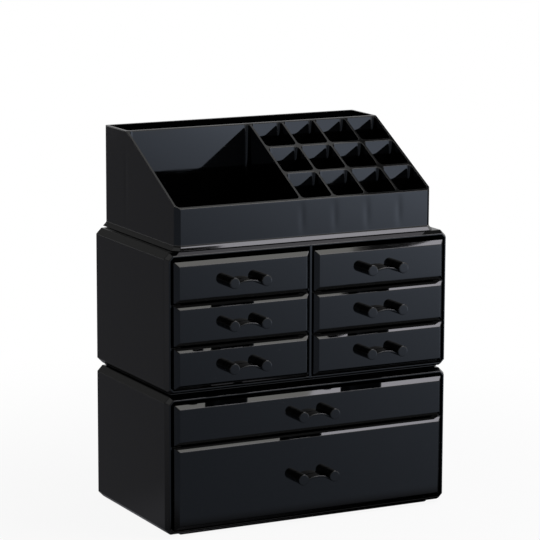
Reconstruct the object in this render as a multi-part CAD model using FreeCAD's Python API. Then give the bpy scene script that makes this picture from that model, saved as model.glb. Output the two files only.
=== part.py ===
"""Stacking makeup organizer: two drawer cases and an open tray, moulded in glossy plastic.

Millimetres. X runs to the right, Y to the back and Z up. The origin is the middle of the base, on the
surface that the organizer stands on. Each piece is written to its own file in the folder parts.
"""
import FreeCAD
import Part
import os

Vector = FreeCAD.Vector

# Case shells
case_width = 240.0
case_depth = 133.0
case_wall = 3.2
case_edge = 4.4  # chamfer along the four long edges
case_lip = 2.2  # how far the outside draws in at the open front and at the back
lip_depth = 4.5  # length of that slope
head_room = 2.4  # over the top row of the bottom case
middle_head_room = 3.3  # over the top row of the middle case
foot_height = 1.8
foot_side_inset = 13.0  # under the bottom case
middle_foot_inset = 5.5  # under the middle case
foot_end_inset = 6.0  # from the front and from the back
foot_chamfer = 1.0

# Rows of drawers, three in each case
row_pitch = 32.4
row_count = 3
deep_rows = 2  # rows that the deep drawer takes

# Runner ledges that carry the drawers
ledge_width = 9.0
ledge_thickness = 2.0
ledge_setback = 0.5  # behind the drawer fronts

# Column divider of the middle case
divider_thickness = 2.0
groove_depth = 1.2
groove_clearance = 0.1

# Drawer fronts
front_bevel = 3.2
front_land = 1.8  # straight edge behind the bevel
front_proud = 4.0  # face ahead of the case
front_gap = 1.3  # between a front and the one above it
front_rise = 1.2  # lower edge above the surface that carries the drawer
front_margin = 2.2  # to the case wall
divider_margin = 1.05  # to the column divider

# Drawer boxes
drawer_wall = 2.0
drawer_floor = 2.0
drawer_corner = 4.0  # inside, seen from above
drawer_cove = 1.5  # inside, round the floor
drawer_edge = 3.0  # outside, along the bottom
runner_gap = 0.3
rim_gap = 1.2  # under the ledge above
back_gap = 1.5

# Handles
post_diameter = 8.6
post_length = 12.0
post_spacing = 26.6
post_chamfer = 0.6
peg_diameter = 4.6
peg_clearance = 0.1
bridge_thickness = 1.4
bridge_drop = 3.5  # ends of the bridge below the post axes
bridge_rise = 4.0  # crown of the bridge above its ends
bridge_setback = 2.7  # behind the post ends
bridge_gap = 0.3  # to the drawer front
handle_drop = 1.0  # post axes below the middle of the front

# Top tray, heights from the surface that it stands on
tray_margin = 8.7  # case beside the flared base
tray_wall = 2.0
tray_floor = 2.0
tray_front_corner = 3.7  # chamfer of the upright corners at the front
tray_back_corner = 1.0
tray_front_height = 31.3
tray_rear_height = 79.0
tray_foot_height = 0.3
tray_foot_inset = 4.0
flare_out = 2.5
flare_height = 3.0
cell_width = 25.9
cell_depth = 27.5
cell_columns = 4
cell_rows = 3
cell_radius = 3.0
tray_shift = -0.4  # the loose tray stands a little left of the middle
tray_setback = 4.0  # and a little behind it

# Sizes that follow
rows_height = row_count * row_pitch + 2 * case_wall
bottom_case_height = rows_height + head_room
middle_case_height = rows_height + middle_head_room
case_front = -case_depth / 2
case_back_inside = case_depth / 2 - case_wall
bottom_case_z = foot_height
middle_case_z = bottom_case_z + bottom_case_height + foot_height
tray_stand_z = middle_case_z + middle_case_height
front_depth = front_bevel + front_land
face_y = case_front - front_proud
front_back_y = face_y + front_depth
ledge_front_y = front_back_y + ledge_setback
box_back_y = case_back_inside - back_gap
half_inside = case_width / 2 - case_wall
divider_half = divider_thickness / 2
bridge_depth = post_length - bridge_setback - bridge_gap
tray_width = case_width - 2 * (tray_margin + flare_out)
tray_depth = case_depth - 2 * flare_out
tray_front_y = tray_setback - tray_depth / 2
tray_back_y = tray_setback + tray_depth / 2
cells_depth = cell_rows * (cell_depth + tray_wall) - tray_wall
over = case_wall  # how far a cutting solid runs past what it cuts
touch = 1e-4  # length that counts as none


def box(x_range, y_range, z_range):
    """Block between the low and high ends of three ranges."""
    sizes = [high - low for low, high in (x_range, y_range, z_range)]
    return Part.makeBox(*sizes, Vector(x_range[0], y_range[0], z_range[0]))


def edges_where(shape, test):
    """Edges of a shape whose end points all pass the test."""
    return [edge for edge in shape.Edges if all(test(vertex.Point) for vertex in edge.Vertexes)]


def upright_edges(shape):
    """Edges of a shape that run along Z."""
    return [edge for edge in shape.Edges if abs(edge.tangentAt(edge.FirstParameter).z) > 1 - touch]


def cut_corner_points(half_u, half_v, low_corner, high_corner):
    """Outline of a rectangle with its two low and two high corners cut off at 45 degrees."""
    right = [
        (half_u - low_corner, -half_v),
        (half_u, low_corner - half_v),
        (half_u, half_v - high_corner),
        (half_u - high_corner, half_v),
    ]
    return right + [(-u, v) for u, v in reversed(right)]


def grown_corner(corner, growth):
    """Cut corner of the same outline after all its sides move outwards by growth."""
    return corner + growth * (2 - 2 ** 0.5)


def case_outline(inset, y, case_z, height):
    """Closed outline of the case's eight-sided section, with every side moved in by inset."""
    corner = grown_corner(case_edge, -inset)
    outline = cut_corner_points(case_width / 2 - inset, height / 2 - inset, corner, corner)
    points = [Vector(x, y, case_z + height / 2 + z) for x, z in outline]
    return Part.makePolygon(points + points[:1])


def case_length(inset, y_range, case_z, height):
    """Straight length of that section along Y."""
    face = Part.Face(case_outline(inset, y_range[0], case_z, height))
    return face.extrude(Vector(0, y_range[1] - y_range[0], 0))


def case_end(y_tip, y_full, case_z, height):
    """End of a case, which slopes in from its full section to the lip at the tip."""
    ends = [case_outline(case_lip, y_tip, case_z, height), case_outline(0, y_full, case_z, height)]
    return Part.makeLoft(ends, True, True)


def bay_floor(case_z, row):
    """Height of the surface that carries the drawer in a row, rows counted from the bottom."""
    return case_z + case_wall + row * row_pitch


def foot_panel(half_width, y_range, z_top, height):
    """Raised panel under a module, with its lower edges chamfered."""
    panel = box((-half_width, half_width), y_range, (z_top - height, z_top))
    lower = edges_where(panel, lambda point: point.z < z_top - height + touch)
    return panel.makeChamfer(min(foot_chamfer, height / 2), lower)


def ledge(x_range, z_top):
    """Runner that carries one side of a drawer."""
    return box(x_range, (ledge_front_y, case_back_inside), (z_top - ledge_thickness, z_top))


def make_case(case_z, height, foot_inset, ledge_rows, grooved):
    """Open-front shell with its foot, the side ledges of some rows and, if asked, divider grooves."""
    full_y = case_depth / 2 - lip_depth
    shell = case_length(0, (-full_y, full_y), case_z, height)
    tips = [case_end(side * case_depth / 2, side * full_y, case_z, height) for side in (-1, 1)]
    inside = case_length(case_wall, (case_front - over, case_back_inside), case_z, height)
    shell = shell.fuse(tips).cut(inside)
    foot_y = case_depth / 2 - foot_end_inset
    added = [foot_panel(case_width / 2 - foot_inset, (-foot_y, foot_y), case_z, foot_height)]
    for row in ledge_rows:
        level = bay_floor(case_z, row)
        added.append(ledge((-half_inside - touch, -half_inside + ledge_width), level))
        added.append(ledge((half_inside - ledge_width, half_inside + touch), level))
    shell = shell.fuse(added)
    if grooved:
        half_groove = divider_half + groove_clearance
        low = bay_floor(case_z, 0) - groove_depth
        high = case_z + height - case_wall + groove_depth
        groove_y = (case_front - over, case_back_inside)
        shell = shell.cut(box((-half_groove, half_groove), groove_y, (low, high)))
    return shell.removeSplitter()


def make_divider():
    """Plate between the two columns, held in the grooves, with ledges on both faces."""
    low = bay_floor(middle_case_z, 0) - groove_depth
    high = tray_stand_z - case_wall + groove_depth - groove_clearance
    plate = box((-divider_half, divider_half), (case_front, case_back_inside), (low, high))
    reach = divider_half + ledge_width
    shelves = [ledge((-reach, reach), bay_floor(middle_case_z, row)) for row in range(1, row_count)]
    return plate.fuse(shelves).removeSplitter()


def handle_place(x_range, floor_z, rows):
    """Middle of a drawer's handle: its x and the height of its post axes."""
    front_low = floor_z + front_rise
    front_high = front_low + rows * row_pitch - front_gap
    return sum(x_range) / 2, (front_low + front_high) / 2 - handle_drop


def post_places(x_middle):
    """Where the two posts of a handle stand, left and right."""
    return x_middle - post_spacing / 2, x_middle + post_spacing / 2


def rod(diameter, x, z, y_range):
    """Round bar along Y."""
    start = Vector(x, y_range[0], z)
    return Part.makeCylinder(diameter / 2, y_range[1] - y_range[0], start, Vector(0, 1, 0))


def make_front(x_range, floor_z, rows):
    """Panel that closes the bay, bevelled all round its face, with the two holes of the handle."""
    front_low = floor_z + front_rise
    front_high = front_low + rows * row_pitch - front_gap
    panel = box(x_range, (face_y, front_back_y), (front_low, front_high))
    panel = panel.makeChamfer(front_bevel, edges_where(panel, lambda point: point.y < face_y + touch))
    x_middle, z_middle = handle_place(x_range, floor_z, rows)
    hole = peg_diameter + 2 * peg_clearance
    hole_y = (face_y - over, front_back_y + touch)
    return panel.cut([rod(hole, x, z_middle, hole_y) for x in post_places(x_middle)])


def make_box(x_range, floor_z, rows):
    """Open box behind a front, with rounded lower edges outside and rounded corners inside."""
    low = floor_z + runner_gap
    high = floor_z + rows * row_pitch - ledge_thickness - rim_gap
    body = box(x_range, (front_back_y, box_back_y), (low, high))
    lower = edges_where(body, lambda point: point.z < low + touch)
    rounded = [edge for edge in lower if edge.CenterOfMass.y > front_back_y + touch]
    body = body.makeFillet(drawer_edge, rounded)
    inside_x = (x_range[0] + drawer_wall, x_range[1] - drawer_wall)
    inside_floor = low + drawer_floor
    inside = box(inside_x, (front_back_y, box_back_y - drawer_wall), (inside_floor, high + over))
    inside = inside.makeFillet(drawer_corner, upright_edges(inside))
    floor_edges = edges_where(inside, lambda point: point.z < inside_floor + touch)
    return body.cut(inside.makeFillet(drawer_cove, floor_edges))


def make_drawer(x_range, floor_z, rows):
    """Drawer in one moulding: the bevelled front and the box behind it."""
    return make_front(x_range, floor_z, rows).fuse(make_box(x_range, floor_z, rows)).removeSplitter()


def make_bridge(x_middle, z_axis):
    """Arched plate between the posts, whose ends lie in the posts under their axes."""
    half = post_spacing / 2
    faces = []
    for sign in (-1, 1):
        z_end = z_axis - bridge_drop + sign * bridge_thickness / 2
        ends = [Vector(x_middle + side * half, 0, z_end) for side in (-1, 1)]
        crown = Vector(x_middle, 0, z_end + bridge_rise)
        faces.append((ends, Part.Arc(ends[0], crown, ends[1]).toShape()))
    (low_ends, low_arc), (high_ends, high_arc) = faces
    sides = [Part.makeLine(low, high) for low, high in zip(low_ends, high_ends)]
    outline = Part.Wire(Part.__sortEdges__([low_arc, high_arc] + sides))
    start = face_y - post_length + bridge_setback
    plate = Part.Face(outline).extrude(Vector(0, bridge_depth, 0))
    plate.translate(Vector(0, start, 0))
    return plate


def make_handle(x_range, floor_z, rows):
    """Handle in one moulding: two posts with pegs for the front's holes, and the bridge."""
    x_middle, z_axis = handle_place(x_range, floor_z, rows)
    post_end = face_y - post_length
    pieces = []
    for x in post_places(x_middle):
        post = rod(post_diameter, x, z_axis, (post_end, face_y))
        post = post.makeChamfer(post_chamfer, edges_where(post, lambda point: point.y < post_end + touch))
        pieces += [post, rod(peg_diameter, x, z_axis, (face_y - touch, front_back_y))]
    return make_bridge(x_middle, z_axis).fuse(pieces).removeSplitter()


def tray_outline(growth, z):
    """Closed outline of the tray's walls at a height, with every side moved out by growth."""
    corners = [grown_corner(corner, growth) for corner in (tray_front_corner, tray_back_corner)]
    outline = cut_corner_points(tray_width / 2 + growth, tray_depth / 2 + growth, *corners)
    points = [Vector(tray_shift + x, tray_setback + y, z) for x, y in outline]
    return Part.makePolygon(points + points[:1])


def make_pocket(x_range, y_range, z_floor):
    """Space of one compartment, rounded in its upright corners and open at the top."""
    space = box(x_range, y_range, (z_floor, tray_stand_z + tray_rear_height + over))
    return space.makeFillet(cell_radius, upright_edges(space))


def tray_pockets(z_floor):
    """Compartments: a grid of cells at the right, a wide one beside it and a row along the back."""
    left = tray_shift - tray_width / 2 + tray_wall
    right = tray_shift + tray_width / 2 - tray_wall
    front = tray_front_y + tray_wall
    x_step = cell_width + tray_wall
    y_step = cell_depth + tray_wall
    cells_left = right - cell_columns * x_step + tray_wall
    cells_back = front + cells_depth
    pockets = [make_pocket((left, cells_left - tray_wall), (front, cells_back), z_floor)]
    pockets.append(make_pocket((left, right), (cells_back + tray_wall, tray_back_y - tray_wall), z_floor))
    for column in range(cell_columns):
        x = cells_left + column * x_step
        for row in range(cell_rows):
            y = front + row * y_step
            pockets.append(make_pocket((x, x + cell_width), (y, y + cell_depth), z_floor))
    return pockets


def slope_cut():
    """Space over the sloping rim, from the low front up to the wall before the rear row."""
    slope_back = tray_front_y + tray_wall + cells_depth
    front_z = tray_stand_z + tray_front_height
    rear_z = tray_stand_z + tray_rear_height
    steepness = (rear_z - front_z) / (slope_back - tray_front_y)
    profile = [
        (tray_front_y - over, front_z - over * steepness),
        (slope_back, rear_z),
        (slope_back, rear_z + over),
        (tray_front_y - over, rear_z + over),
    ]
    points = [Vector(tray_shift - tray_width, y, z) for y, z in profile]
    return Part.Face(Part.makePolygon(points + points[:1])).extrude(Vector(2 * tray_width, 0, 0))


def make_tray():
    """Tray in one moulding: walls on a flared base with a foot, a sloping rim and the compartments."""
    base_z = tray_stand_z + tray_foot_height
    wall_height = tray_rear_height - tray_foot_height
    walls = Part.Face(tray_outline(0, base_z)).extrude(Vector(0, 0, wall_height))
    flare_ends = [tray_outline(flare_out, base_z), tray_outline(0, base_z + flare_height)]
    flare = Part.makeLoft(flare_ends, True, True)
    foot_y = (tray_front_y + tray_foot_inset, tray_back_y - tray_foot_inset)
    foot = foot_panel(tray_width / 2 - tray_foot_inset, foot_y, base_z, tray_foot_height)
    foot.translate(Vector(tray_shift, 0, 0))
    body = walls.fuse([flare, foot]).cut(slope_cut())
    return body.cut(tray_pockets(base_z + tray_floor)).removeSplitter()


def save(name, shape):
    """Write one piece, which has to be a single sound solid."""
    solid = shape.Solids[0]
    assert len(shape.Solids) == 1 and solid.isValid(), name
    solid.exportStep(f"parts/{name}.step")


def drawer_plan():
    """Every drawer as its name, its front's left and right edges, its floor height and its rows."""
    reach = half_inside - front_margin
    inner = divider_half + divider_margin
    shallow_floor = bay_floor(bottom_case_z, deep_rows)
    plan = [
        ("deep_drawer", (-reach, reach), bay_floor(bottom_case_z, 0), deep_rows),
        ("shallow_drawer", (-reach, reach), shallow_floor, row_count - deep_rows),
    ]
    for side, x_range in (("left", (-reach, -inner)), ("right", (inner, reach))):
        for row, level in zip(range(row_count), ("bottom", "middle", "top")):
            plan.append((f"{side}_{level}_drawer", x_range, bay_floor(middle_case_z, row), 1))
    return plan


os.makedirs("parts", exist_ok=True)
save("bottom_case", make_case(bottom_case_z, bottom_case_height, foot_side_inset, [deep_rows], False))
middle_rows = range(1, row_count)
save("middle_case", make_case(middle_case_z, middle_case_height, middle_foot_inset, middle_rows, True))
save("column_divider", make_divider())
save("top_tray", make_tray())
for drawer_name, drawer_x, drawer_z, drawer_rows in drawer_plan():
    save(drawer_name, make_drawer(drawer_x, drawer_z, drawer_rows))
    save(drawer_name.replace("drawer", "handle"), make_handle(drawer_x, drawer_z, drawer_rows))
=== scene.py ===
"""Looks of the stacking makeup organizer: its gloss black mouldings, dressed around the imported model.

Metres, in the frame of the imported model: X to the right, Y to the back, Z up. Every moulding is an outline
with rounded corners that is carried through a rounded profile, or a section that is carried along a path.
"""

import logging
import math
from collections.abc import Sequence
from dataclasses import dataclass, field
from enum import Enum

import bmesh
import bpy
import numpy as np
from mathutils import Matrix, Vector
from mathutils.geometry import delaunay_2d_cdt


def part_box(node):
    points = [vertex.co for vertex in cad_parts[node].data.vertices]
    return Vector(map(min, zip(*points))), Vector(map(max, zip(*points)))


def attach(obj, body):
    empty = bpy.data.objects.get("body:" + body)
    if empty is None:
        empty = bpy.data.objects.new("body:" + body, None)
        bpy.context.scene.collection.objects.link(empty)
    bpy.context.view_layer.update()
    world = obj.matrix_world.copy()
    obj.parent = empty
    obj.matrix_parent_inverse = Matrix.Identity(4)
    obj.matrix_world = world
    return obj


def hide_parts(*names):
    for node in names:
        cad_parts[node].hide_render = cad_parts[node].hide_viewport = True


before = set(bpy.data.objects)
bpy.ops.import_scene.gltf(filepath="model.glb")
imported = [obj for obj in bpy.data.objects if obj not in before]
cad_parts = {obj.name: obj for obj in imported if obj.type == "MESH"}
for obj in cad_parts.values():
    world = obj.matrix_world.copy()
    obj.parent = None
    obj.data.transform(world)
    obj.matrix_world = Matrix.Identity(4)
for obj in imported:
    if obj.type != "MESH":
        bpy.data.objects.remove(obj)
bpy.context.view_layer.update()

log = logging.getLogger("organizer")
Range = tuple[float, float]
Value = "Field | float"


class Way(Enum):
    """Which axes an outline's u and v and the profile's path become, as places in x, y, z."""

    BACK = (0, 2, 1)
    UP = (0, 1, 2)


@dataclass(frozen=True)
class Outline:
    """Convex outline of straight sides with rounded corners, in a plane with axes u and v.

    Side i lies on the line u cos(a) + v sin(a) = reach, measured from the centre, where a is its outward
    angle in degrees. Sides go round anticlockwise.
    """

    angles: tuple[float, ...]
    reaches: tuple[float, ...]
    centre: tuple[float, float]
    arc_points: int = 6
    side_step: float = 0.02

    @staticmethod
    def halves(u_range: Range, v_range: Range) -> tuple[float, float, Range]:
        """Half sizes and middle of a rectangle.

        Args:
            u_range: lowest and highest u.
            v_range: lowest and highest v.

        Returns:
            Half its size along u, half its size along v, and its middle.
        """
        half_u = (u_range[1] - u_range[0]) / 2
        half_v = (v_range[1] - v_range[0]) / 2
        return half_u, half_v, (u_range[0] + half_u, v_range[0] + half_v)

    @classmethod
    def rectangle(cls, u_range: Range, v_range: Range, **settings: float) -> "Outline":
        """Outline of a rectangle.

        Args:
            u_range: lowest and highest u.
            v_range: lowest and highest v.
            settings: other fields of the outline.

        Returns:
            The outline, with its centre in the middle.
        """
        half_u, half_v, centre = cls.halves(u_range, v_range)
        return cls((0, 90, 180, 270), (half_u, half_v, half_u, half_v), centre, **settings)

    @classmethod
    def cut_rectangle(
        cls, u_range: Range, v_range: Range, low_cut: float, high_cut: float, **settings: float
    ) -> "Outline":
        """Outline of a rectangle whose corners are cut off at 45 degrees.

        Args:
            u_range: lowest and highest u.
            v_range: lowest and highest v.
            low_cut: cut of the two corners at the lowest v.
            high_cut: cut of the two corners at the highest v.
            settings: other fields of the outline.

        Returns:
            The outline, with its centre in the middle.
        """
        half_u, half_v, centre = cls.halves(u_range, v_range)
        low = (half_u + half_v - low_cut) / math.sqrt(2)
        high = (half_u + half_v - high_cut) / math.sqrt(2)
        reaches = (half_u, high, half_v, high, half_u, low, half_v, low)
        return cls(tuple(range(0, 360, 45)), reaches, centre, **settings)

    def rings(self, insets: np.ndarray, radii: np.ndarray) -> np.ndarray:
        """Copies of the outline, each with its sides moved in and its corners rounded.

        The arc between sides i and i+1 has its centre where their lines cross after both move in by the inset
        and the radius, and a side between two arcs gets evenly spaced points.

        Args:
            insets: how far each copy's sides move in.
            radii: corner radius of each copy.

        Returns:
            Points in an array of copies by points by 2.
        """
        angle = np.radians(self.angles)
        turn = np.mod(np.roll(angle, -1) - angle, 2 * np.pi)
        normal = np.stack([np.cos(angle), np.sin(angle)], axis=-1)
        following = np.roll(normal, -1, axis=0)
        reach = np.array(self.reaches)[None] - (insets + radii)[:, None]
        next_reach = np.roll(reach, -1, axis=1)
        cross = normal[:, 0] * following[:, 1] - normal[:, 1] * following[:, 0]
        middle_u = (reach * following[:, 1] - next_reach * normal[:, 1]) / cross
        middle_v = (next_reach * normal[:, 0] - reach * following[:, 0]) / cross
        middle = np.stack([middle_u, middle_v], axis=-1)
        theta = angle[:, None] + turn[:, None] * np.linspace(0, 1, self.arc_points)
        spoke = np.stack([np.cos(theta), np.sin(theta)], axis=-1)
        arcs = middle[:, :, None] + radii[:, None, None, None] * spoke
        stretches = []
        for corner in range(len(self.angles)):
            start = arcs[:, corner, -1:]
            end = arcs[:, (corner + 1) % len(self.angles), :1]
            count = int(np.linalg.norm(end[0] - start[0]) / self.side_step)
            share = np.linspace(0, 1, count + 2)[None, 1:-1, None]
            stretches += [arcs[:, corner], start + (end - start) * share]
        return np.concatenate(stretches, axis=1) + np.array(self.centre)


def rounded_path(
    points: Sequence[Sequence[float]], trims: float | Sequence[float], steps: int = 4, most: float = 0.45
) -> np.ndarray:
    """Path through points with its inner corners rounded.

    A corner p between a and b becomes the curve (1-t)^2 A + 2t(1-t) p + t^2 B, where A and B lie the trim
    away from p towards a and b, and at most a given share of the way.

    Args:
        points: rows whose first two values are the place on the path, followed by any values that go with it.
        trims: how far the rounding of each inner corner reaches, or one value for all.
        steps: stretches of each curve.
        most: largest share of the way to the next point that a curve takes up.

    Returns:
        Rows like those of points.
    """
    rows = np.array(points, float)
    corner = rows[1:-1]
    trim = np.broadcast_to(np.asarray(trims, float), len(corner))
    ends = []
    for neighbour in (rows[:-2], rows[2:]):
        gap = neighbour - corner
        length = np.linalg.norm(gap[:, :2], axis=1)
        ends.append(corner + gap * np.minimum(trim / length, most)[:, None])
    t = np.linspace(0, 1, steps + 1)[None, :, None]
    before, after = (end[:, None] for end in ends)
    curves = (1 - t) ** 2 * before + 2 * t * (1 - t) * corner[:, None] + t**2 * after
    return np.concatenate([rows[:1], curves.reshape(-1, rows.shape[1]), rows[-1:]])


def carried(outline: Outline, profile: np.ndarray, way: Way) -> np.ndarray:
    """Surface of an outline carried along a profile.

    Args:
        outline: the outline.
        profile: rows of inset, place along the path and corner radius.
        way: which axes the outline and the path lie on.

    Returns:
        Grid of points, of profile rows by outline points by 3.
    """
    rings = outline.rings(profile[:, 0], profile[:, 2])
    grid = np.empty((*rings.shape[:2], 3))
    grid[..., way.value[0]] = rings[..., 0]
    grid[..., way.value[1]] = rings[..., 1]
    grid[..., way.value[2]] = profile[:, 1, None]
    return grid


def block(x_range: Range, y_range: Range, z_range: Range, edge: float) -> np.ndarray:
    """Surface of a bar along Y with all its edges rounded.

    Args:
        x_range: left and right side.
        y_range: front and back end.
        z_range: bottom and top.
        edge: radius of the edges.

    Returns:
        Grid of points, open at both ends.
    """
    profile = [
        (2 * edge, y_range[0], edge / 2),
        (0, y_range[0], edge),
        (0, y_range[1], edge),
        (2 * edge, y_range[1], edge / 2),
    ]
    return carried(Outline.rectangle(x_range, z_range), rounded_path(profile, edge), Way.BACK)


class Field:
    """A shader socket that takes part in Python arithmetic, each operator adding a Math node."""

    def __init__(self, graph: "Graph", socket: bpy.types.NodeSocket) -> None:
        """Keep the socket and the graph that it belongs to."""
        self.graph = graph
        self.socket = socket

    def __add__(self, other: Value) -> "Field":
        """Sum."""
        return self.graph.maths("ADD", self, other)

    def __sub__(self, other: Value) -> "Field":
        """Difference."""
        return self.graph.maths("SUBTRACT", self, other)

    def __rsub__(self, other: Value) -> "Field":
        """Difference, with the number first."""
        return self.graph.maths("SUBTRACT", other, self)

    def __mul__(self, other: Value) -> "Field":
        """Product."""
        return self.graph.maths("MULTIPLY", self, other)

    def __gt__(self, other: Value) -> "Field":
        """One where the field is over the value, and zero elsewhere."""
        return self.graph.maths("GREATER_THAN", self, other)

    def __lt__(self, other: Value) -> "Field":
        """One where the field is under the value, and zero elsewhere."""
        return self.graph.maths("LESS_THAN", self, other)


class Graph:
    """Node tree of one material or of the world."""

    def __init__(self, tree: bpy.types.NodeTree) -> None:
        """Empty the tree."""
        self.tree = tree
        tree.nodes.clear()

    def node(self, kind: str, settings: dict[str, object], inputs: dict[str | int, object]) -> bpy.types.Node:
        """Add one node.

        Args:
            kind: the node's type.
            settings: its own settings, set first.
            inputs: values or fields of its sockets, by name or number.

        Returns:
            The node.
        """
        made = self.tree.nodes.new(kind)
        for name, value in settings.items():
            setattr(made, name, value)
        for name, value in inputs.items():
            if isinstance(value, Field):
                self.tree.links.new(value.socket, made.inputs[name])
            else:
                made.inputs[name].default_value = value
        return made

    def field(
        self, kind: str, settings: dict[str, object], inputs: dict[str | int, object], output: str | int = 0
    ) -> Field:
        """Add one node and take one of its outputs, by name or number."""
        return Field(self, self.node(kind, settings, inputs).outputs[output])

    def maths(self, operation: str, first: Value, second: Value) -> Field:
        """Math node of two values."""
        return self.field("ShaderNodeMath", {"operation": operation}, {0: first, 1: second})

    def place(self, scale: Sequence[float], turn: Sequence[float] = (0, 0, 0)) -> Field:
        """Object coordinates, turned by angles in radians and scaled along each axis."""
        coordinates = self.field("ShaderNodeTexCoord", {}, {}, "Object")
        return self.field("ShaderNodeMapping", {}, {"Vector": coordinates, "Rotation": turn, "Scale": scale})

    def noise(self, place: Field, detail: float) -> Field:
        """Soft noise of about zero to one, one cycle to a unit of the place."""
        return self.field("ShaderNodeTexNoise", {}, {"Vector": place, "Scale": 1.0, "Detail": detail}, "Fac")

    def step(self, value: Field, low: float, high: float) -> Field:
        """Smooth step from zero at low to one at high."""
        settings = {"interpolation_type": "SMOOTHSTEP"}
        return self.field("ShaderNodeMapRange", settings, {0: value, 1: low, 2: high, 3: 0.0, 4: 1.0})

    def blend(self, factor: Field, first: Sequence[float], second: Sequence[float]) -> Field:
        """Colour that goes from the first to the second."""
        # The Mix node's colours are its inputs 6 and 7 and its output 2.
        inputs = {0: factor, 6: (*first, 1.0), 7: (*second, 1.0)}
        return self.field("ShaderNodeMix", {"data_type": "RGBA"}, inputs, 2)


@dataclass(frozen=True)
class GlossBlack:
    """Gloss black moulded plastic: a wavy mirror-like skin with faint smudges, hairlines and dust.

    The values smudge, hairline and dust_roughness are the roughness that each adds. A cut is where a smooth
    step of the noise starts and ends, and the radius of dust is a share of its spacing.
    """

    name: str
    pigment: tuple[float, float, float] = (0.0010, 0.0011, 0.0012)
    dust_colour: tuple[float, float, float] = (0.16, 0.155, 0.15)
    roughness: float = 0.035
    index: float = 1.5
    smudge: float = 0.05
    smudge_size: float = 0.045
    smudge_detail: float = 3.0
    smudge_cut: Range = (0.5, 0.72)
    wave_size: float = 0.035
    wave_detail: float = 1.0
    wave_height: float = 0.00003
    hairline: float = 0.07
    hairline_length: float = 0.02
    hairline_width: float = 0.00025
    hairline_cut: Range = (0.74, 0.8)
    hairline_turns: tuple[tuple[float, float, float], ...] = ((0.3, 0.5, 0.2), (1.1, -0.7, 0.9))
    dust_roughness: float = 0.4
    dust_spacing: float = 0.0022
    dust_share: float = 0.05
    dust_radius: float = 0.09

    def material(self) -> bpy.types.Material:
        """Build the node tree.

        Smudges are noise of the smudge size, hairlines are noise drawn out along two directions and cut off
        near its peak, dust is the middle of a few cells of a cell pattern, and the waviness is a bump of soft
        noise.

        Returns:
            The material.
        """
        made = bpy.data.materials.new(self.name)
        made.use_nodes = True
        graph = Graph(made.node_tree)
        smudge_noise = graph.noise(graph.place([1 / self.smudge_size] * 3), self.smudge_detail)
        smudge = graph.step(smudge_noise, *self.smudge_cut)
        first, second = (self.hairlines(graph, turn) for turn in self.hairline_turns)
        hairline = first + second
        dust = self.dust(graph)
        worn = smudge * self.smudge + hairline * self.hairline + dust * self.dust_roughness
        wave = graph.noise(graph.place([1 / self.wave_size] * 3), self.wave_detail)
        bump_inputs = {"Strength": 1.0, "Distance": self.wave_height, "Height": wave}
        normal = graph.field("ShaderNodeBump", {}, bump_inputs)
        inputs = {
            "Base Color": graph.blend(dust, self.pigment, self.dust_colour),
            "Roughness": worn + self.roughness,
            "IOR": self.index,
            "Normal": normal,
        }
        skin = graph.field("ShaderNodeBsdfPrincipled", {}, inputs)
        graph.node("ShaderNodeOutputMaterial", {}, {"Surface": skin})
        return made

    def hairlines(self, graph: Graph, turn: Sequence[float]) -> Field:
        """Faint scratches along one direction, one on the line and zero beside it."""
        scale = (1 / self.hairline_length, 1 / self.hairline_width, 1 / self.hairline_width)
        return graph.step(graph.noise(graph.place(scale, turn), 0.0), *self.hairline_cut)

    def dust(self, graph: Graph) -> Field:
        """Specks of dust, at the middle of a random few of the cells of a cell pattern.

        Args:
            graph: the material's graph.

        Returns:
            One on a speck and zero beside it.
        """
        place = graph.place([1 / self.dust_spacing] * 3)
        cells = graph.node("ShaderNodeTexVoronoi", {}, {"Vector": place, "Scale": 1.0})
        distance = Field(graph, cells.outputs["Distance"])
        speck = 1 - graph.step(distance, self.dust_radius / 2, self.dust_radius)
        middle = Field(graph, cells.outputs["Position"])
        chance = graph.field("ShaderNodeTexWhiteNoise", {}, {"Vector": middle}, "Value")
        return speck * (chance > 1 - self.dust_share)


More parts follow.
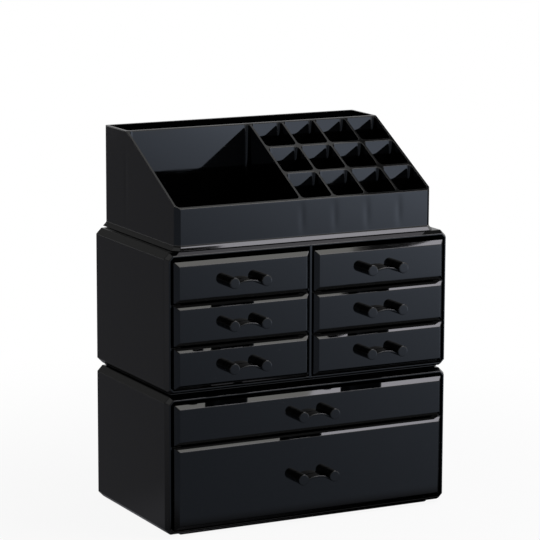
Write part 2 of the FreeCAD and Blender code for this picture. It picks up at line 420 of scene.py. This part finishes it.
@dataclass
class Moulding:
    """One piece: closed surfaces collected as arrays, then made into a mesh with its finish."""

    name: str
    points: list[np.ndarray] = field(default_factory=list)
    faces: list[list[int]] = field(default_factory=list)
    count: int = 0

    def add(self, grid: np.ndarray, close_start: bool = True, close_end: bool = True) -> np.ndarray:
        """Add a surface that closes round its second direction.

        Args:
            grid: points, of rings by points by 3.
            close_start: close the first ring with a face.
            close_end: close the last ring with a face.

        Returns:
            The points' numbers in the mesh, rings by points.
        """
        number = self.count + np.arange(grid.shape[0] * grid.shape[1]).reshape(grid.shape[:2])
        beside = np.roll(number, -1, axis=1)
        quads = np.stack([number[:-1], beside[:-1], beside[1:], number[1:]], axis=-1)
        self.faces += quads.reshape(-1, 4).tolist()
        self.faces += [number[0, ::-1].tolist()] * close_start + [number[-1].tolist()] * close_end
        self.points.append(grid.reshape(-1, 3))
        self.count += number.size
        return number

    def fill(self, loops: list[np.ndarray]) -> None:
        """Close the area between an outer loop and the loops of the holes in it, seen from above.

        Args:
            loops: point numbers of each loop, in order round it.
        """
        number = np.concatenate(loops)
        flat = [Vector(point) for point in np.concatenate(self.points)[number, :2]]
        starts = np.cumsum([0] + [len(loop) for loop in loops])
        areas = [list(range(low, high)) for low, high in zip(starts[:-1], starts[1:])]
        inside = 1
        nearest = 1e-9
        _, _, triangles, sources, _, owners = delaunay_2d_cdt(flat, [], areas, inside, nearest)
        origin = number[[source[0] for source in sources]]
        between = [triangle for triangle, owner in zip(triangles, owners) if owner == [0]]
        self.faces += origin[np.array(between)].tolist()

    def build(self, finish: bpy.types.Material, body: str, slot: str, node: str) -> None:
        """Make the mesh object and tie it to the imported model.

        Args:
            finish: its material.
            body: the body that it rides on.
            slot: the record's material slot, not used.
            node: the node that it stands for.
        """
        mesh = bpy.data.meshes.new(self.name)
        mesh.from_pydata(np.concatenate(self.points), [], self.faces)
        shell = bmesh.new()
        shell.from_mesh(mesh)
        bmesh.ops.recalc_face_normals(shell, faces=shell.faces)
        shell.to_mesh(mesh)
        shell.free()
        mesh.polygons.foreach_set("use_smooth", np.ones(len(mesh.polygons), bool))
        mesh.materials.append(finish)
        piece = bpy.data.objects.new(self.name, mesh)
        bpy.context.scene.collection.objects.link(piece)
        piece.modifiers.new("flat faces stay flat", "WEIGHTED_NORMAL")
        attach(piece, body)
        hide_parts(node)
        log.info("%s: %d points, %d faces", self.name, len(mesh.vertices), len(mesh.polygons))


@dataclass
class Case:
    """Open-front case shell with its foot and the ledges that carry drawers."""

    node: str
    ledge_rows: tuple[int, ...]
    wall: float = 0.0032
    long_edge: float = 0.0044
    lip: float = 0.0022
    lip_depth: float = 0.0045
    edge: float = 0.0005
    row_pitch: float = 0.0324
    foot_height: float = 0.0018
    foot_side: float = 0.013
    foot_end: float = 0.006
    foot_cut: float = 0.001
    ledge_width: float = 0.009
    ledge_thickness: float = 0.002
    ledge_setback: float = 0.0015
    sunk: float = 0.0005

    def build(self, finish: bpy.types.Material) -> None:
        """Build the shell, the foot and the ledges as one piece.

        Args:
            finish: its material.
        """
        low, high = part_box(self.node)
        moulding = Moulding(f"{self.node}_moulding")
        bottom = low.z + self.foot_height
        moulding.add(self.shell(low, high, bottom))
        moulding.add(self.foot(low, high, bottom))
        inside = high.x - self.wall
        y_range = (low.y + self.ledge_setback, high.y - self.wall + self.sunk)
        for row in self.ledge_rows:
            top = bottom + self.wall + row * self.row_pitch
            z_range = (top - self.ledge_thickness, top)
            right = (inside - self.ledge_width, inside + self.sunk)
            for x_range in (right, (-right[1], -right[0])):
                moulding.add(block(x_range, y_range, z_range, self.edge / 2))
        moulding.build(finish, self.node, "case_black", self.node)

    def shell(self, low: Vector, high: Vector, bottom: float) -> np.ndarray:
        """Eight-sided outline carried from the back's outside round the front lip to the back's inside.

        Args:
            low: lowest corner of the node.
            high: highest corner of the node.
            bottom: height of the case's underside.

        Returns:
            Grid of points.
        """
        x_range, z_range = (low.x, high.x), (bottom, high.z)
        outline = Outline.cut_rectangle(x_range, z_range, self.long_edge, self.long_edge)
        corner = 2 * self.edge
        path = [
            (2 * self.wall, high.y, self.edge),
            (self.lip, high.y, self.edge),
            (0, high.y - self.lip_depth, corner),
            (0, low.y + self.lip_depth, corner),
            (self.lip, low.y, self.edge),
            (self.wall, low.y, self.edge),
            (self.wall, high.y - self.wall, self.edge),
            (2 * self.wall, high.y - self.wall, self.edge / 2),
        ]
        trims = [self.edge] * 4 + [self.edge / 2, self.edge]
        return carried(outline, rounded_path(path, trims), Way.BACK)

    def foot(self, low: Vector, high: Vector, bottom: float) -> np.ndarray:
        """Raised panel under the case, from inside its floor down to the chamfered lower edge.

        Args:
            low: lowest corner of the node.
            high: highest corner of the node.
            bottom: height of the case's underside.

        Returns:
            Grid of points.
        """
        x_range = (low.x + self.foot_side, high.x - self.foot_side)
        y_range = (low.y + self.foot_end, high.y - self.foot_end)
        path = [
            (0, bottom + self.sunk, self.edge),
            (0, low.z + self.foot_cut, self.edge),
            (self.foot_cut, low.z, self.edge),
            (4 * self.foot_cut, low.z, self.edge / 2),
        ]
        return carried(Outline.rectangle(x_range, y_range), rounded_path(path, self.edge / 2), Way.UP)


@dataclass
class ColumnDivider:
    """Plate between the two columns of the middle case, with ledges on both faces."""

    node: str = "column_divider"
    case: str = "middle_case"
    thickness: float = 0.002
    edge: float = 0.0003

    def build(self, finish: bpy.types.Material, shell: Case) -> None:
        """Build the plate and its ledges as one piece.

        Args:
            finish: its material.
            shell: the case that holds it, which has ledges of the same sizes.
        """
        low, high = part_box(self.node)
        case_low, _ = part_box(self.case)
        moulding = Moulding(f"{self.node}_moulding")
        half = self.thickness / 2
        moulding.add(block((-half, half), (low.y, high.y), (low.z, high.z), self.edge))
        for row in shell.ledge_rows:
            top = case_low.z + shell.foot_height + shell.wall + row * shell.row_pitch
            z_range = (top - shell.ledge_thickness, top)
            moulding.add(block((low.x, high.x), (low.y + shell.ledge_setback, high.y), z_range, self.edge))
        moulding.build(finish, self.case, "case_black", self.node)


@dataclass
class Drawer:
    """One drawer: the bevelled front and the open box behind it."""

    node: str
    front_depth: float = 0.005
    bevel: float = 0.0032
    front_step: float = 0.0009
    rim_step: float = 0.0031
    wall: float = 0.002
    floor: float = 0.002
    inner_corner: float = 0.004
    outer_corner: float = 0.0012
    cove: float = 0.0015
    lower_edge: float = 0.003
    edge: float = 0.00035
    seam: float = 0.00015

    def build(self, finish: bpy.types.Material) -> None:
        """Build the front and the box as two pieces.

        Args:
            finish: their material.
        """
        low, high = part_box(self.node)
        front = Moulding(f"{self.node}_front")
        front.add(self.front(low, high))
        front.build(finish, self.node, "drawer_black", self.node)
        box = Moulding(f"{self.node}_box")
        box.add(self.box(low, high))
        box.build(finish, self.node, "drawer_black", self.node)

    def front(self, low: Vector, high: Vector) -> np.ndarray:
        """Rectangle carried forward from the back of the panel, over its bevel, to its face.

        Args:
            low: lowest corner of the node.
            high: highest corner of the node.

        Returns:
            Grid of points.
        """
        outline = Outline.rectangle((low.x, high.x), (low.z + self.front_step, high.z))
        back = low.y + self.front_depth
        path = [
            (4 * self.edge, back, self.edge),
            (0, back, 2 * self.edge),
            (0, low.y + self.bevel, 2 * self.edge),
            (self.bevel, low.y, self.edge),
            (2 * self.bevel, low.y, self.edge),
        ]
        return carried(outline, rounded_path(path, self.edge), Way.BACK)

    def box(self, low: Vector, high: Vector) -> np.ndarray:
        """Rectangle carried from under the box up its outside, over the rim and down to the floor inside.

        Args:
            low: lowest corner of the node.
            high: highest corner of the node.

        Returns:
            Grid of points.
        """
        front = low.y + self.front_depth - self.wall + self.seam
        outline = Outline.rectangle((low.x + self.seam, high.x - self.seam), (front, high.y))
        rim = high.z - self.rim_step
        floor = low.z + self.floor
        inner = self.inner_corner
        path = [
            (2 * self.lower_edge, low.z, self.edge),
            (0, low.z, self.outer_corner),
            (0, rim, self.outer_corner),
            (self.wall, rim, inner),
            (self.wall, floor, inner),
            (self.wall + 2 * self.cove, floor, inner - self.cove),
        ]
        trims = [self.lower_edge, 2 * self.edge, 2 * self.edge, self.cove]
        return carried(outline, rounded_path(path, trims), Way.UP)


@dataclass
class Handle:
    """Pull of one drawer: two posts and the arched bridge between them."""

    node: str
    body: str
    front_depth: float = 0.005
    post_round: float = 0.0009
    bridge_thickness: float = 0.0014
    bridge_rise: float = 0.004
    bridge_drop: float = 0.0035
    bridge_setback: float = 0.0027
    bridge_gap: float = 0.0003
    nose: float = 0.0006
    sunk: float = 0.00005
    around: int = 48
    along: int = 28
    round_steps: int = 6

    def build(self, finish: bpy.types.Material) -> None:
        """Build the posts and the bridge as one piece.

        Args:
            finish: its material.
        """
        low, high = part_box(self.node)
        moulding = Moulding(f"{self.node}_moulding")
        radius = (high.z - low.z) / 2
        axis_z = (low.z + high.z) / 2
        face = high.y - self.front_depth
        for x in (low.x + radius, high.x - radius):
            moulding.add(self.post(x, axis_z, radius, low.y, face))
        moulding.add(self.bridge((low.x + radius, high.x - radius), axis_z, low.y, face))
        moulding.build(finish, self.body, "handle_black", self.node)

    def post(self, x: float, z: float, radius: float, end: float, face: float) -> np.ndarray:
        """Turned post with rounded ends: the point at angle a of row (r, y) is (x + r cos a, y, z + r sin a).

        Args:
            x: place of the post's axis.
            z: height of the post's axis.
            radius: radius of the post.
            end: y of the free end.
            face: y of the drawer's face.

        Returns:
            Grid of points.
        """
        base = face + self.sunk
        path = [(radius / 2, end), (radius, end), (radius, base), (radius / 2, base)]
        rows = rounded_path(path, self.post_round, self.round_steps)
        angle = np.linspace(0, 2 * np.pi, self.around, endpoint=False)
        ring = rows[:, :1]
        along = np.broadcast_to(rows[:, 1:], (len(rows), self.around))
        return np.stack([x + ring * np.cos(angle), along, z + ring * np.sin(angle)], axis=-1)

    def bridge(self, x_range: Range, z: float, end: float, face: float) -> np.ndarray:
        """Rounded rectangle carried along an arc that starts and ends inside the posts.

        The arc's ends are the drop below the post axes, and its middle is higher by the rise, so its radius
        is (half span squared + rise squared) / (2 rise). The section's width lies along Y, and its thickness
        along the arc's radius.

        Args:
            x_range: the two post axes.
            z: height of the post axes.
            end: y of the posts' free ends.
            face: y of the drawer's face.

        Returns:
            Grid of points.
        """
        half = (x_range[1] - x_range[0]) / 2
        radius = (half**2 + self.bridge_rise**2) / (2 * self.bridge_rise)
        swing = math.asin(half / radius)
        y_range = (end + self.bridge_setback, face - self.bridge_gap)
        thickness = self.bridge_thickness / 2
        outline = Outline.rectangle(y_range, (-thickness, thickness))
        section = outline.rings(np.zeros(1), np.array([self.nose]))[0]
        angle = np.linspace(-swing, swing, self.along)[:, None]
        spoke = radius + section[None, :, 1]
        x = (x_range[0] + x_range[1]) / 2 + spoke * np.sin(angle)
        height = z - self.bridge_drop + self.bridge_rise - radius + spoke * np.cos(angle)
        return np.stack([x, np.broadcast_to(section[None, :, 0], x.shape), height], axis=-1)


@dataclass
class Tray:
    """Open tray: walls on a flared base with a foot, a rim that slopes up to the rear, and compartments."""

    node: str = "top_tray"
    wall: float = 0.002
    floor: float = 0.002
    foot_height: float = 0.0003
    foot_inset: float = 0.004
    foot_cut: float = 0.00015
    flare_out: float = 0.0025
    flare_height: float = 0.003
    flare_cove: float = 0.0016
    front_corner: float = 0.0037
    back_corner: float = 0.001
    front_height: float = 0.0313
    crease: float = 0.0008
    cell_width: float = 0.0259
    cell_depth: float = 0.0275
    cell_columns: int = 4
    cell_rows: int = 3
    cell_radius: float = 0.003
    edge: float = 0.0003
    rim_edge: float = 0.00069
    straight: float = 0.0012
    cove: float = 0.0008
    sunk: float = 0.0005
    point_step: float = 0.001
    wall_rows: int = 12
    sink_depth: float = 0.00012
    sink_width: float = 0.0024

    def build(self, finish: bpy.types.Material) -> None:
        """Build the outside, the compartments, the rim between them and the foot as one piece.

        Args:
            finish: its material.
        """
        low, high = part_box(self.node)
        self.base = low.z + self.foot_height
        self.top = high.z
        self.low_rim = low.z + self.front_height
        self.left = low.x + self.flare_out
        self.right = high.x - self.flare_out
        self.front = low.y + self.flare_out
        self.back = high.y - self.flare_out
        self.cells_left = self.right - self.cell_columns * (self.cell_width + self.wall)
        self.slope_back = self.front + self.cell_rows * (self.cell_depth + self.wall)
        moulding = Moulding(f"{self.node}_moulding")
        loops = [moulding.add(self.outside(), close_end=False)[-1]]
        for x_range, y_range in self.compartments():
            loops.append(moulding.add(self.compartment(x_range, y_range), close_end=False)[-1])
        moulding.fill(loops)
        moulding.add(self.foot(low.z))
        moulding.build(finish, self.node, "tray_black", self.node)

    def rim(self, y: np.ndarray) -> np.ndarray:
        """Height of the rim: a slope from the front up to the rear row, a soft crease, then level.

        With u the distance behind the crease, the height is top + steepness (u - sqrt(u^2 + crease^2)) / 2.

        Args:
            y: places along the tray's depth.

        Returns:
            Heights.
        """
        steepness = (self.top - self.low_rim) / (self.slope_back - self.front)
        behind = y - self.slope_back
        return self.top + steepness * (behind - np.sqrt(behind**2 + self.crease**2)) / 2

    def lifted(self, outline: Outline, lower: np.ndarray, upper: np.ndarray) -> np.ndarray:
        """Surface of an outline carried up to the sloping rim.

        Args:
            outline: the outline seen from above.
            lower: profile rows with plain heights.
            upper: profile rows with heights measured from the rim.

        Returns:
            Grid of points.
        """
        grid = carried(outline, np.concatenate([lower, upper]), Way.UP)
        grid[len(lower):, :, 2] += self.rim(grid[len(lower):, :, 1])
        return grid

    def outside(self) -> np.ndarray:
        """Eight-sided outline carried from under the base, over the flare and up to the rim.

        Opposite the end of each dividing wall the outside is drawn in by a shallow sink mark, a bell curve
        exp(-((place - wall) / width)^2) that fades out at the flare and at the rim.

        Returns:
            Grid of points.
        """
        cuts = (self.front_corner, self.back_corner)
        outline = Outline.cut_rectangle(
            (self.left, self.right), (self.front, self.back), *cuts, side_step=self.point_step
        )
        edge = self.edge
        flare_top = self.base + self.flare_height
        lower = [
            (0, self.base, edge),
            (-self.flare_out, self.base, 2 * edge),
            (0, flare_top, 2 * edge),
            (0, flare_top + self.straight, 2 * edge),
        ]
        upper = [(0, -self.straight, 2 * edge), (0, 0, 2 * edge), (self.rim_edge, 0, edge)]
        lower_rows = rounded_path(lower, [edge, self.flare_cove])
        upper_rows = rounded_path(upper, edge)
        grid = self.lifted(outline, lower_rows, upper_rows)
        first, last = len(lower_rows) - 1, len(lower_rows)
        share = np.linspace(0, 1, self.wall_rows)[:, None, None]
        wall = grid[first] + (grid[last] - grid[first]) * share
        wall[..., :2] += self.sink_marks(wall) * np.sin(np.pi * share)
        return np.concatenate([grid[:first], wall, grid[last + 1:]])

    def sink_marks(self, points: np.ndarray) -> np.ndarray:
        """How far the outside is drawn in at points, by a mark opposite the end of each dividing wall.

        Args:
            points: places on the front and on the two sides.

        Returns:
            Shifts along x and y.
        """
        half = self.wall / 2
        columns = self.cells_left - half + np.arange(self.cell_columns) * (self.cell_width + self.wall)
        rows = self.slope_back + half - np.arange(self.cell_rows) * (self.cell_depth + self.wall)
        x, y = points[..., 0], points[..., 1]
        near = self.edge / 2
        from_left = self.marks(y, rows[:1]) * (x < self.left + near)
        from_right = self.marks(y, rows) * (x > self.right - near)
        from_front = self.marks(x, columns) * (y < self.front + near)
        return np.stack([from_left - from_right, from_front], axis=-1)

    def marks(self, places: np.ndarray, walls: np.ndarray) -> np.ndarray:
        """Depth of the marks at places along a side, given where the dividing walls end."""
        distance = (places[..., None] - walls) / self.sink_width
        return self.sink_depth * np.exp(-(distance**2)).sum(axis=-1)

    def compartments(self) -> list[tuple[Range, Range]]:
        """Left and right, and front and back, of the wide compartment, the rear row and every cell.

        Returns:
            Pairs of ranges in x and y.
        """
        inside_front = self.front + self.wall
        left, right = self.left + self.wall, self.right - self.wall
        found = [
            ((left, self.cells_left - self.wall), (inside_front, self.slope_back)),
            ((left, right), (self.slope_back + self.wall, self.back - self.wall)),
        ]
        for column in range(self.cell_columns):
            x = self.cells_left + column * (self.cell_width + self.wall)
            for row in range(self.cell_rows):
                y = inside_front + row * (self.cell_depth + self.wall)
                found.append(((x, x + self.cell_width), (y, y + self.cell_depth)))
        return found

    def compartment(self, x_range: Range, y_range: Range) -> np.ndarray:
        """Rounded rectangle carried from the floor, round the cove and up to the rim, where it widens.

        Args:
            x_range: left and right of the compartment.
            y_range: front and back of the compartment.

        Returns:
            Grid of points.
        """
        outline = Outline.rectangle(x_range, y_range, side_step=self.point_step)
        floor = self.base + self.floor
        radius, reach = self.cell_radius, 3 * self.cove
        lower = [(reach, floor, radius - reach), (0, floor, radius), (0, floor + reach, radius)]
        upper = [(0, -self.straight, radius), (0, 0, radius), (-self.rim_edge, 0, radius + self.rim_edge)]
        return self.lifted(outline, rounded_path(lower, self.cove), rounded_path(upper, self.edge))

    def foot(self, bottom: float) -> np.ndarray:
        """Raised panel under the tray, from inside its base down to the chamfered lower edge.

        Args:
            bottom: height of the panel's underside.

        Returns:
            Grid of points.
        """
        x_range = (self.left + self.foot_inset, self.right - self.foot_inset)
        y_range = (self.front + self.foot_inset, self.back - self.foot_inset)
        path = [
            (0, self.base + self.sunk, self.edge),
            (0, bottom + self.foot_cut, self.edge),
            (self.foot_cut, bottom, self.edge),
            (4 * self.foot_cut, bottom, self.edge / 2),
        ]
        return carried(Outline.rectangle(x_range, y_range), rounded_path(path, self.edge / 2), Way.UP)


@dataclass(frozen=True)
class Softbox:
    """Rectangular studio lamp that faces straight down."""

    name: str
    middle: tuple[float, float, float]
    size: tuple[float, float]
    turn: float
    radiance: float
    colour: tuple[float, float, float]

    def build(self) -> None:
        """Add the lamp. A lamp of power P and area A shines with radiance P / (pi A)."""
        lamp = bpy.data.lights.new(self.name, "AREA")
        lamp.shape = "RECTANGLE"
        lamp.size, lamp.size_y = self.size
        lamp.energy = self.radiance * math.pi * self.size[0] * self.size[1]
        lamp.color = self.colour
        placed = bpy.data.objects.new(self.name, lamp)
        placed.location = self.middle
        placed.rotation_euler.z = math.radians(self.turn)
        bpy.context.scene.collection.objects.link(placed)


@dataclass
class Studio:
    """White floor, pale surroundings, softboxes overhead and a card that only gloss sees, which glows with a
    painted brightness: a painted reflection.

    Levels of the room and of the card are radiances, where one is white, but card_level is an exponent. The
    floor's glow is the share that it has in the floor's look near the object. A range is where a smooth step
    starts and ends: in metres from the middle for the floor, in parts of a ray's direction for the room, and
    in metres for the card.
    """

    floor_reach: float = 14.0
    floor_colour: tuple[float, float, float] = (0.85, 0.85, 0.85)
    floor_glow: float = 0.92
    floor_fade: Range = (0.15, 0.6)
    room_up: float = 0.08
    room_left: float = 0.14
    room_back_right: float = 0.45
    room_front_right: float = 0.75
    room_right: Range = (0.0, 0.35)
    room_low: Range = (0.45, 0.75)
    # Painted reflection: place, glow levels and tints of the glowing card that only gloss sees.
    card_reach: float = 2.2
    card_height: float = 0.0004
    card_level: float = -1.26
    card_rise_x: float = 2.5
    card_rise_y: float = 0.4
    card_most: float = 1.5
    card_front: Range = (0.08, 0.125)
    card_back_level: float = 0.115
    card_back: Range = (0.0, 0.1)
    card_back_slope: float = 0.8
    card_left_level: float = 0.21
    card_left: Range = (-0.15, 0.9)
    card_left_slope: float = 0.55
    card_left_edge: Range = (0.0, 0.1)
    card_front_tint: tuple[float, float, float] = (0.86, 0.98, 1.2)
    card_back_tint: tuple[float, float, float] = (0.98, 0.98, 1.06)
    softboxes: tuple[Softbox, ...] = (
        Softbox("softbox_near", (0.385, -0.06, 1.2), (0.4, 0.72), 0.0, 2.4, (1.0, 0.99, 0.95)),
        Softbox("softbox_far", (0.796, -0.493, 1.2), (0.9, 0.5), 39.5, 5.5, (0.97, 0.95, 1.03)),
        Softbox("softbox_back", (0.38, 0.455, 1.2), (0.46, 0.29), 0.0, 0.55, (1.0, 1.0, 1.0)),
        Softbox("softbox_left", (-0.8, 0.09, 1.2), (0.5, 0.58), 0.0, 0.45, (1.0, 1.0, 1.0)),
    )

    def build(self) -> None:
        """Add the floor, the card, the lamps and the world."""
        self.plane("floor", self.floor_reach, 0.0, self.floor_material())
        # Painted reflection: a glowing card that camera, diffuse, shadow and glass rays skip, so its painted
        # brightness shows only in the gloss.
        card = self.plane("glowing_reflection_card", self.card_reach, self.card_height, self.card_material())
        card.visible_camera = False
        card.visible_diffuse = False
        card.visible_shadow = False
        card.visible_transmission = False
        for softbox in self.softboxes:
            softbox.build()
        self.world()

    def plane(self, name: str, reach: float, height: float, finish: bpy.types.Material) -> bpy.types.Object:
        """Level square of the stage.

        Args:
            name: its name.
            reach: from the middle to each side.
            height: its height.
            finish: its material.

        Returns:
            The object.
        """
        corners = np.array([(-1, -1), (1, -1), (1, 1), (-1, 1)]) * reach
        mesh = bpy.data.meshes.new(name)
        mesh.from_pydata(np.column_stack([corners, np.full(4, height)]), [], [(0, 1, 2, 3)])
        mesh.materials.append(finish)
        made = bpy.data.objects.new(name, mesh)
        bpy.context.scene.collection.objects.link(made)
        return made

    def floor_material(self) -> bpy.types.Material:
        """White floor that takes the object's shadow, with a glow of its own to the eye and in gloss.

        Returns:
            The material.
        """
        made = bpy.data.materials.new("white_floor")
        made.use_nodes = True
        graph = Graph(made.node_tree)
        matt = graph.field("ShaderNodeBsdfDiffuse", {}, {"Color": (*self.floor_colour, 1.0)})
        glow = graph.field("ShaderNodeEmission", {}, {"Strength": 1.0})
        coordinates = graph.field("ShaderNodeTexCoord", {}, {}, "Object")
        distance = graph.field("ShaderNodeVectorMath", {"operation": "LENGTH"}, {0: coordinates}, "Value")
        far = graph.step(distance, *self.floor_fade)
        factor = self.seen(graph) * (far * (1 - self.floor_glow) + self.floor_glow)
        mixed = graph.field("ShaderNodeMixShader", {}, {0: factor, 1: matt, 2: glow})
        graph.node("ShaderNodeOutputMaterial", {}, {"Surface": mixed})
        return made

    def card_material(self) -> bpy.types.Material:
        """Painted reflection: a card that glows though it is no lamp, seen only in gloss: bluish in front,
        dim to the left and behind, and black at the right.

        In front the brightness is exp(level + a x + b y), up to a limit, which rises to the right.

        Returns:
            The material.
        """
        made = bpy.data.materials.new("painted_reflection_card")
        made.use_nodes = True
        graph = Graph(made.node_tree)
        coordinates = graph.field("ShaderNodeTexCoord", {}, {}, "Object")
        apart = graph.node("ShaderNodeSeparateXYZ", {}, {"Vector": coordinates})
        x, y = Field(graph, apart.outputs["X"]), Field(graph, apart.outputs["Y"])
        exponent = x * self.card_rise_x + y * self.card_rise_y + self.card_level
        bright = graph.maths("MINIMUM", graph.maths("EXPONENT", exponent, 0.0), self.card_most)
        front = graph.step(0 - y, *self.card_front)
        sector = graph.step(x * -self.card_left_slope - y, *self.card_left_edge)
        left = graph.step(0 - x, *self.card_left) * sector * self.card_left_level
        behind = graph.step(y - x * self.card_back_slope, *self.card_back)
        back = behind * (1 - front) * self.card_back_level
        # Painted brightness of the card, which the gloss shows as a painted reflection.
        strength = bright * front + left + back
        colour = graph.blend(front, self.card_back_tint, self.card_front_tint)
        glow = graph.field("ShaderNodeEmission", {}, {"Color": colour, "Strength": strength})
        graph.node("ShaderNodeOutputMaterial", {}, {"Surface": glow})
        return made

    def world(self) -> None:
        """Dim surroundings that are pale low down at the right, and white to the eye."""
        scene = bpy.context.scene
        scene.world = bpy.data.worlds.new("pale_room")
        scene.world.use_nodes = True
        graph = Graph(scene.world.node_tree)
        direction = graph.field("ShaderNodeTexCoord", {}, {}, "Generated")
        apart = graph.node("ShaderNodeSeparateXYZ", {}, {"Vector": direction})
        right = graph.step(Field(graph, apart.outputs["X"]), *self.room_right)
        low = 1 - graph.step(Field(graph, apart.outputs["Z"]), *self.room_low)
        front = Field(graph, apart.outputs["Y"]) < 0
        light = front * (self.room_front_right - self.room_back_right) + self.room_back_right
        room = low * (right * light + (self.room_left - self.room_up)) + self.room_up
        eye = graph.field("ShaderNodeLightPath", {}, {}, "Is Camera Ray")
        strength = eye + (1 - eye) * room
        shine = graph.field("ShaderNodeBackground", {}, {"Color": (1.0, 1.0, 1.0, 1.0), "Strength": strength})
        graph.node("ShaderNodeOutputWorld", {}, {"Surface": shine})
        scene.view_settings.view_transform = "Standard"

    def seen(self, graph: Graph) -> Field:
        """Tell the rays that see from those that light.

        Args:
            graph: the material's graph.

        Returns:
            One for rays from the eye and for rays in gloss and glass, and zero for the rest.
        """
        light_path = graph.node("ShaderNodeLightPath", {}, {})
        names = ("Is Camera Ray", "Is Glossy Ray", "Is Transmission Ray")
        eye, gloss, glass = (Field(graph, light_path.outputs[name]) for name in names)
        return graph.maths("MINIMUM", eye + gloss + glass, 1.0)


@dataclass(frozen=True)
class Viewpoint:
    """Camera of the product picture, turned and tilted in degrees."""

    place: tuple[float, float, float] = (-0.96022, -1.87264, 0.57436)
    yaw: float = 27.134
    down: float = 10.511
    roll: float = 0.18
    lens: float = 183.98
    sensor: float = 36.0

    def build(self) -> None:
        """Add the camera. Its axes are the right, up and back directions after yaw, tilt and roll."""
        lens = bpy.data.cameras.new("viewpoint")
        lens.lens = self.lens
        lens.sensor_width = self.sensor
        camera = bpy.data.objects.new("viewpoint", lens)
        yaw = Matrix.Rotation(-math.radians(self.yaw), 4, "Z")
        tilt = Matrix.Rotation(math.radians(90 - self.down), 4, "X")
        roll = Matrix.Rotation(math.radians(self.roll), 4, "Z")
        camera.matrix_world = Matrix.Translation(self.place) @ yaw @ tilt @ roll
        bpy.context.scene.collection.objects.link(camera)
        bpy.context.scene.camera = camera


def main() -> None:
    """Build the pieces in order, then the studio round them, and note the size of the dressed model."""
    logging.basicConfig(level=logging.INFO, format="%(name)s: %(message)s")
    case_black = GlossBlack("case_black").material()
    tray_black = GlossBlack("tray_black").material()
    drawer_black = GlossBlack("drawer_black").material()
    handle_black = GlossBlack("handle_black").material()
    middle_case = Case("middle_case", ledge_rows=(1, 2), foot_side=0.0055)
    Case("bottom_case", ledge_rows=(2,)).build(case_black)
    middle_case.build(case_black)
    ColumnDivider().build(case_black, middle_case)
    Tray().build(tray_black)
    for node in [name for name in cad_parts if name.endswith("_drawer")]:
        Drawer(node).build(drawer_black)
        Handle(node.replace("drawer", "handle"), node).build(handle_black)
    Studio().build()
    Viewpoint().build()


if __name__ == "__main__":
    main()
